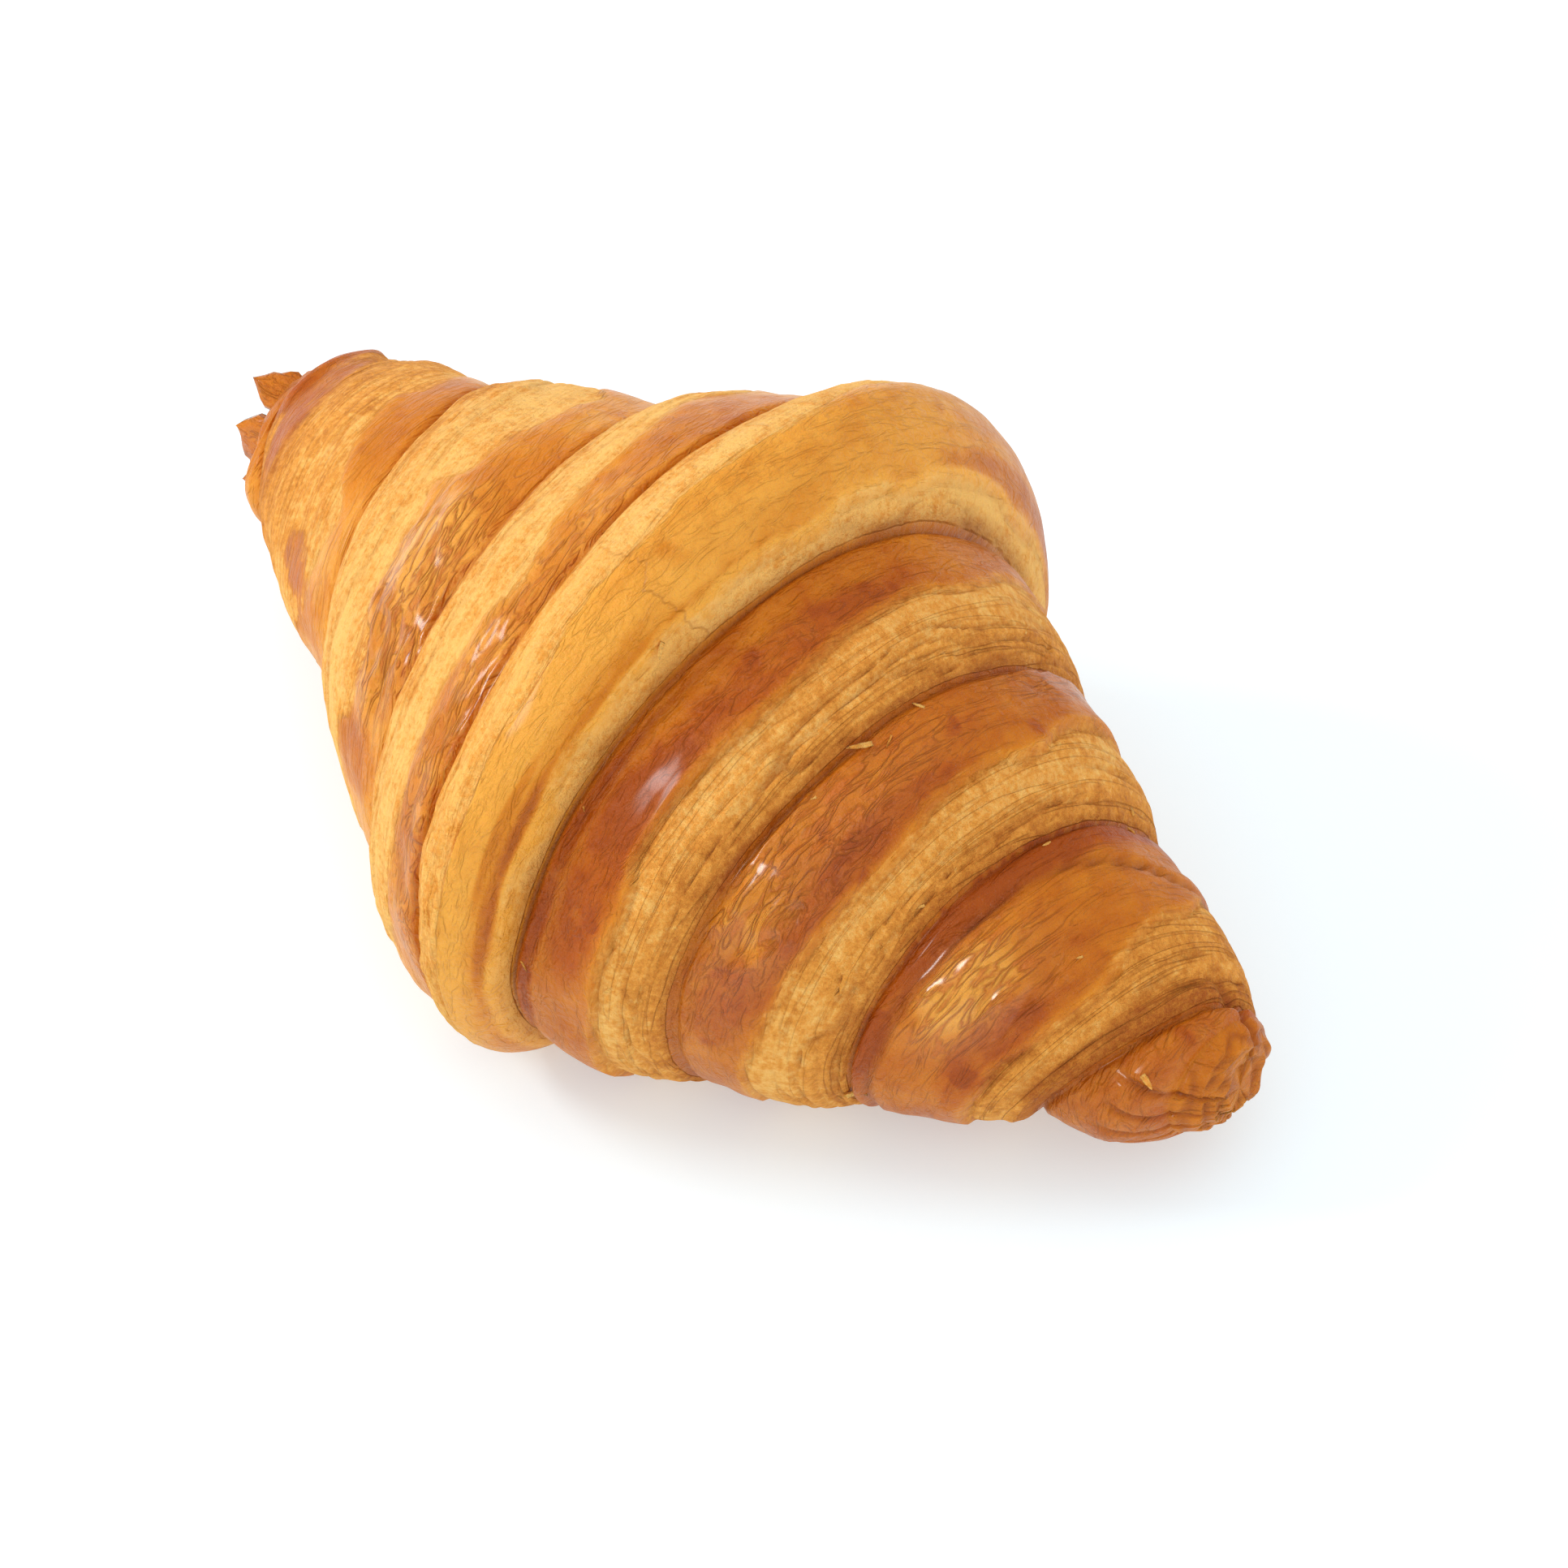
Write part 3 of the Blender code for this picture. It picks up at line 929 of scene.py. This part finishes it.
def loaf_frame(side, band, angle, share):
    """A place on the crust, the way along its band and the way out of it."""
    turn = np.array([0, PROBE_TURNS, 0]) + angle / 360 - band
    share = np.array([share, share, share + PROBE_SHARE])
    dough = Dough(turn, share, np.full(3, side))
    height, _ = detail(dough, bpy.context.scene.croissant_loaf)
    here, further, aside = (Vector(point) for point in loaf_points(dough, height))
    along = (further - here).normalized()
    out = along.cross(aside - here).normalized() * side
    middle = Vector((here.x, *(value * MM for value in axis_point(here.x / MM))))
    if out.dot(here - middle) < 0:
        out.negate()
    return here, along, out


def finish_piece(shape, name, material):
    """Makes a mesh object of a shape, shaded smooth, that rides on the root body in the crust's slot."""
    for face in shape.faces:
        face.smooth = True
    mesh = bpy.data.meshes.new(name)
    shape.to_mesh(mesh)
    shape.free()
    mesh.materials.append(material)
    piece = bpy.data.objects.new(name, mesh)
    bpy.context.scene.collection.objects.link(piece)
    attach(piece, "root")
    return piece


# ---------------------------------------------------------------- the crust


class Nodes:
    """A shorthand for wiring a material's nodes."""

    def __init__(self, name):
        self.material = bpy.data.materials.new(name)
        self.material.use_nodes = True
        self.tree = self.material.node_tree
        self.tree.nodes.clear()

    def add(self, kind, inputs=None, **settings):
        node = self.tree.nodes.new(kind)
        for name, value in settings.items():
            setattr(node, name, value)
        for socket, value in (inputs or {}).items():
            self.feed(node.inputs[socket], value)
        return node

    def feed(self, socket, value):
        if isinstance(value, bpy.types.NodeSocket):
            self.tree.links.new(value, socket)
        else:
            socket.default_value = value

    def math(self, operation, first, second=0.0, third=0.0, clamp=False):
        inputs = {0: first, 1: second, 2: third}
        return self.add("ShaderNodeMath", inputs, operation=operation, use_clamp=clamp).outputs[0]

    def ramp(self, factor, stops):
        node = self.add("ShaderNodeValToRGB", {"Fac": factor})
        elements = node.color_ramp.elements
        while len(elements) < len(stops):
            elements.new(0.5)
        for element, (place, colour) in zip(elements, stops):
            element.position = place
            element.color = (*colour, 1)
        return node.outputs["Color"]

    def blend(self, factor, first, second):
        node = self.add("ShaderNodeMix", data_type="RGBA")
        self.feed(node.inputs[0], factor)
        self.feed(node.inputs[6], first)
        self.feed(node.inputs[7], second)
        return node.outputs[2]

    def times(self, first, second, clamp=False):
        return self.math("MULTIPLY", first, second, clamp=clamp)

    def plus(self, first, second, clamp=False):
        return self.math("ADD", first, second, clamp=clamp)

    def line(self, value, slope, start, clamp=False):
        """A straight line: slope times the value, from its start."""
        return self.math("MULTIPLY_ADD", value, slope, start, clamp=clamp)

    def spread(self, grain, width):
        """A grain set about nought, over the given width."""
        return self.line(grain, width, -width / 2)

    def thread(self, distance, sharpness):
        """A thin line where the distance is nought: 1 on it, falling to 0 beside it."""
        return self.math("SUBTRACT", 1.0, self.times(distance, sharpness), clamp=True)

    def off_middle(self, grain):
        return self.math("ABSOLUTE", self.math("SUBTRACT", grain, 0.5))

    def grain(self, vector, stretch, scale, detail, roughness, distortion):
        mapping = self.add("ShaderNodeMapping", {"Vector": vector, "Scale": stretch})
        inputs = {
            "Vector": mapping.outputs[0],
            "Scale": scale,
            "Detail": detail,
            "Roughness": roughness,
            "Distortion": distortion,
        }
        return self.add("ShaderNodeTexNoise", inputs).outputs["Fac"]


class Crust(Nodes):
    """The crust's nodes, with its grains and the marks stored on each piece."""

    def __init__(self, colours):
        super().__init__(CRUST_NAME)
        self.colours = colours
        maps = {
            "roll": self.add("ShaderNodeUVMap", uv_map="roll").outputs["UV"],
            "place": self.add("ShaderNodeTexCoord").outputs["Object"],
        }
        for name, (follows, *shape) in GRAINS.items():
            setattr(self, name, self.grain(maps[follows], *shape))
        for name in MARKS:
            setattr(self, name, self.add("ShaderNodeAttribute", attribute_name=name).outputs["Fac"])
        self.covered = self.where_glazed()
        self.torn = self.math("SUBTRACT", 1.0, self.covered)
        self.off_crease = self.off_middle(self.creasing)
        self.off_tear = self.plus(self.tear, self.spread(self.mottling, 0.8))
        self.film = self.line(self.off_tear, 2.5, 0.5, clamp=True)
        self.crack = self.hair_cracks()

    def where_glazed(self):
        """The glazed skin, with a frayed outline."""
        edge = self.plus(self.gap, self.spread(self.fibres, 2.2))
        edge = self.plus(edge, self.spread(self.mottling, 2.4))
        return self.line(edge, 1.3, 0.5, clamp=True)

    def hair_cracks(self):
        """Hair cracks along the torn edges, most where they are well baked."""
        crack = self.thread(self.off_middle(self.hairs), 30.0)
        crack = self.times(crack, self.line(self.torn, 0.50, 0.05))
        return self.times(crack, self.line(self.toast, 1.4, 0.1), clamp=True)

    def torn_colour(self):
        """The torn edge: cream to brown, in thin lines along the band."""
        lines = self.plus(self.spread(self.layers, 0.40), self.spread(self.fibres, 0.30))
        sand = self.plus(self.spread(self.bubbles, 0.70), self.spread(self.specks, 1.10))
        baked = self.plus(self.toast, self.plus(lines, sand), clamp=True)
        stops = (
            (0.0, self.colours.cream),
            (0.33, self.colours.straw),
            (0.62, TOASTED_EDGE),
            (1.0, BROWN_EDGE),
        )
        return self.ramp(baked, stops)

    def glazed_colour(self):
        """The glazed skin: honey to chestnut, in soft blotches and streaks that grow as it browns."""
        freckles = self.times(self.math("SUBTRACT", self.freckles, 0.66, clamp=True), 2.6)
        cloud = self.plus(self.spread(self.blotches, 0.80), freckles)
        cloud = self.times(cloud, self.line(self.toast, 1.2, 0.25))
        patches = self.plus(self.spread(self.streaks, 0.44), self.spread(self.bubbles, 0.44))
        patches = self.times(patches, self.line(self.toast, 1.1, 0.4, clamp=True))
        baked = self.plus(self.toast, self.plus(cloud, patches), clamp=True)
        stops = (
            (0.0, self.colours.honey),
            (0.32, self.colours.amber),
            (0.85, self.colours.chestnut),
            (1.0, BURNT_SKIN),
        )
        return self.ramp(baked, stops)

    def colour(self):
        """Torn edge and glazed skin, with painted shade in the seams and recesses, red-brown creases, the
        film's tear and the cracks.
        """
        colour = self.blend(self.covered, self.torn_colour(), self.glazed_colour())
        # Painted shade: the seams, creases and recesses are blended towards the shade colour.
        shade = self.times(self.dark, self.line(self.fibres, 0.9, 0.35), clamp=True)
        colour = self.blend(shade, colour, (*self.colours.shade_umber, 1))
        crease = self.times(self.thread(self.off_crease, 14.0), self.times(self.wrinkled, 0.75))
        colour = self.blend(crease, colour, CREASE_RED)
        tear_line = self.thread(self.math("ABSOLUTE", self.off_tear), 3.0)
        colour = self.blend(self.times(tear_line, 0.35), colour, TEAR_BROWN)
        colour = self.blend(self.times(self.film, 0.16), colour, FILM_GOLD)
        return self.blend(self.crack, colour, CRACK_BROWN)

    def roughness(self):
        """Glossy on the glaze, dull on the torn edge."""
        glaze = self.plus(self.spread(self.mottling, 0.5), self.colours.roughness, clamp=True)
        return self.line(self.torn, 0.32, glaze, clamp=True)

    def relief(self):
        """The finest relief: fibres, puckers, lumps and pores, sunk at the cracks and past the film's tear."""
        fibres = self.times(self.fibres, self.line(self.torn, 0.45, 0.08))
        puckers = self.times(self.math("MINIMUM", self.off_crease, 0.10), -9.0)
        puckers = self.times(puckers, self.line(self.wrinkled, 0.48, 0.26))
        streaks = self.times(self.streaks, self.line(self.covered, 0.6, 0.1))
        skin_height = self.plus(self.times(puckers, self.covered), streaks)
        lumps = self.times(self.mottling, self.line(self.torn, 0.9, 0.65))
        lumps = self.plus(lumps, self.times(self.times(self.bubbles, self.torn), 1.1))
        pores = self.times(self.specks, 0.34)
        height = self.plus(self.plus(fibres, skin_height), self.plus(lumps, pores))
        height = self.line(self.crack, -0.7, height)
        height = self.line(self.covered, 0.55, height)
        height = self.line(self.film, -0.4, height)
        bump = self.add("ShaderNodeBump", {"Height": height, "Strength": 0.8, "Distance": RELIEF_HEIGHT})
        return bump.outputs["Normal"]

    def egg_wash(self):
        """The clear coat on the glaze, strongest where the skin is wrinkled."""
        return self.times(self.covered, self.line(self.wrinkled, 0.52, 0.12))


def crust_material(colours):
    crust = Crust(colours)
    inputs = {
        "Base Color": crust.colour(),
        "Roughness": crust.roughness(),
        "Normal": crust.relief(),
        "Coat Weight": crust.egg_wash(),
        "Coat Roughness": 0.17,
        "Specular IOR Level": 0.16,
        "Subsurface Weight": 0.10,
        "Subsurface Radius": SOFT_GLOW,
        "Subsurface Scale": SOFT_GLOW_DEPTH,
    }
    shader = crust.add("ShaderNodeBsdfPrincipled", inputs)
    crust.add("ShaderNodeOutputMaterial", {"Surface": shader.outputs[0]})
    return crust.material


def shared_crust(context):
    """The crust, made once for every piece."""
    return bpy.data.materials.get(CRUST_NAME) or crust_material(context.scene.croissant_crust)


# ---------------------------------------------------------------- operators


class CROISSANT_OT_loaf(Operator):
    """Roll the dough sheet into the loaf, with its bands, creases, torn edges and wrinkled skin"""

    bl_idname = "croissant.loaf"
    bl_label = "Roll the loaf"

    def execute(self, context):
        loaf = roll_loaf(context.scene.croissant_loaf)
        piece = finish_piece(loaf, "croissant_loaf", shared_crust(context))
        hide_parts("croissant")
        return {"FINISHED"}


class CROISSANT_OT_tips(Operator):
    """Draw out the dry points of dough that stand from the left end of the roll"""

    bl_idname = "croissant.tips"
    bl_label = "Draw out the tips"

    def execute(self, context):
        shape = new_petals()
        for base, direction, outwards, sizes, toast in TIPS:
            add_petal(shape, Vector(base) * MM, direction, outwards, sizes, ALL_GLAZED, toast)
        piece = finish_petals(shape, "croissant_tips", shared_crust(context))
        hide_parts("croissant")
        return {"FINISHED"}


class CROISSANT_OT_flakes(Operator):
    """Scatter the loose flakes and crumbs that cling to the crust"""

    bl_idname = "croissant.flakes"
    bl_label = "Scatter the flakes"

    def execute(self, context):
        settings = context.scene.croissant_flakes
        shape = new_petals()
        lay_flakes(shape)
        scatter_flakes(shape, settings.count, settings.seed)
        piece = finish_petals(shape, "croissant_flakes", shared_crust(context))
        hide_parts("croissant")
        return {"FINISHED"}


class CROISSANT_OT_stage(Operator):
    """Lay the floor and set the lights and the camera"""

    bl_idname = "croissant.stage"
    bl_label = "Set the stage"

    def execute(self, context):
        settings = context.scene.croissant_stage
        lay_floor(settings)
        light_stage(context.scene, settings)
        place_camera(context.scene, settings)
        return {"FINISHED"}


def lay_floor(settings):
    shape = bmesh.new()
    bmesh.ops.create_grid(shape, x_segments=2, y_segments=2, size=FLOOR_REACH)
    mesh = bpy.data.meshes.new("floor")
    shape.to_mesh(mesh)
    shape.free()
    floor = bpy.data.objects.new("floor", mesh)
    bpy.context.scene.collection.objects.link(floor)
    paint = bpy.data.materials.new("white_floor")
    paint.use_nodes = True
    shader = paint.node_tree.nodes["Principled BSDF"]
    shader.inputs["Base Color"].default_value = (*settings.floor_colour, 1)
    shader.inputs["Roughness"].default_value = 0.9
    shader.inputs["Specular IOR Level"].default_value = 0.0
    shader.inputs["Emission Color"].default_value = (1, 1, 1, 1)
    shader.inputs["Emission Strength"].default_value = settings.glow
    mesh.materials.append(paint)


def light_stage(scene, settings):
    """Even light from all round, which gloss sees dimmed, with a soft lamp and one that only gloss shows."""
    world = bpy.data.worlds.new("studio")
    world.use_nodes = True
    background = world.node_tree.nodes["Background"]
    background.inputs["Color"].default_value = (1, 1, 1, 1)
    rays = world.node_tree.nodes.new("ShaderNodeLightPath")
    dimmed = world.node_tree.nodes.new("ShaderNodeMath")
    dimmed.operation = "MULTIPLY_ADD"
    dimmed.inputs[1].default_value = -settings.sky * GLOSS_DIMMING
    dimmed.inputs[2].default_value = settings.sky
    world.node_tree.links.new(rays.outputs["Is Glossy Ray"], dimmed.inputs[0])
    world.node_tree.links.new(dimmed.outputs[0], background.inputs["Strength"])
    scene.world = world
    scene.view_settings.view_transform = "Standard"

    hang_lamp(scene, "key_light", *KEY_LAMP, settings.key)
    glint = hang_lamp(scene, "glint_light", *GLINT_LAMP, settings.glint)
    glint.visible_diffuse = False


def hang_lamp(scene, name, place, size, power):
    """A round soft lamp aimed at the origin."""
    lamp = bpy.data.lights.new(name, "AREA")
    lamp.shape = "DISK"
    lamp.size = size
    lamp.energy = power
    hung = bpy.data.objects.new(name, lamp)
    hung.location = place
    hung.rotation_euler = (-Vector(place)).to_track_quat("-Z", "Y").to_euler()
    scene.collection.objects.link(hung)
    return hung


def place_camera(scene, settings):
    azimuth, elevation = np.radians(settings.azimuth), np.radians(settings.elevation)
    back = Vector(
        (
            np.sin(azimuth) * np.cos(elevation),
            -np.cos(azimuth) * np.cos(elevation),
            np.sin(elevation),
        )
    )
    camera = bpy.data.objects.new("camera", bpy.data.cameras.new("camera"))
    camera.data.sensor_width = SENSOR_WIDTH_MM
    camera.data.lens = settings.lens
    camera.data.clip_start = NEAREST_SEEN
    camera.location = Vector(AIM) + back * settings.distance
    camera.rotation_euler = back.to_track_quat("Z", "Y").to_euler()
    scene.collection.objects.link(camera)
    scene.camera = camera


class CROISSANT_PT_sidebar(Panel):
    """The croissant's pieces and their settings"""

    bl_idname = "CROISSANT_PT_sidebar"
    bl_label = "Croissant"
    bl_space_type = "VIEW_3D"
    bl_region_type = "UI"
    bl_category = "Croissant"

    def draw(self, context):
        for name, (_, *operators) in GROUPS.items():
            box = self.layout.box()
            settings = getattr(context.scene, name)
            for prop in settings.__annotations__:
                box.prop(settings, prop)
            for operator in operators:
                box.operator(operator.bl_idname)


# Each group's settings, then the operators that use them.
GROUPS = {
    "croissant_crust": (CrustSettings,),
    "croissant_loaf": (LoafSettings, CROISSANT_OT_loaf, CROISSANT_OT_tips),
    "croissant_flakes": (FlakeSettings, CROISSANT_OT_flakes),
    "croissant_stage": (StageSettings, CROISSANT_OT_stage),
}
CLASSES = (*(item for group in GROUPS.values() for item in group), CROISSANT_PT_sidebar)


def register():
    for item in CLASSES:
        bpy.utils.register_class(item)
    for name, (settings, *_) in GROUPS.items():
        setattr(bpy.types.Scene, name, PointerProperty(type=settings))


def unregister():
    for name in GROUPS:
        delattr(bpy.types.Scene, name)
    for item in reversed(CLASSES):
        bpy.utils.unregister_class(item)


def main():
    register()
    bpy.ops.croissant.loaf()
    bpy.ops.croissant.tips()
    bpy.ops.croissant.flakes()
    bpy.ops.croissant.stage()


if __name__ == "__main__":
    main()
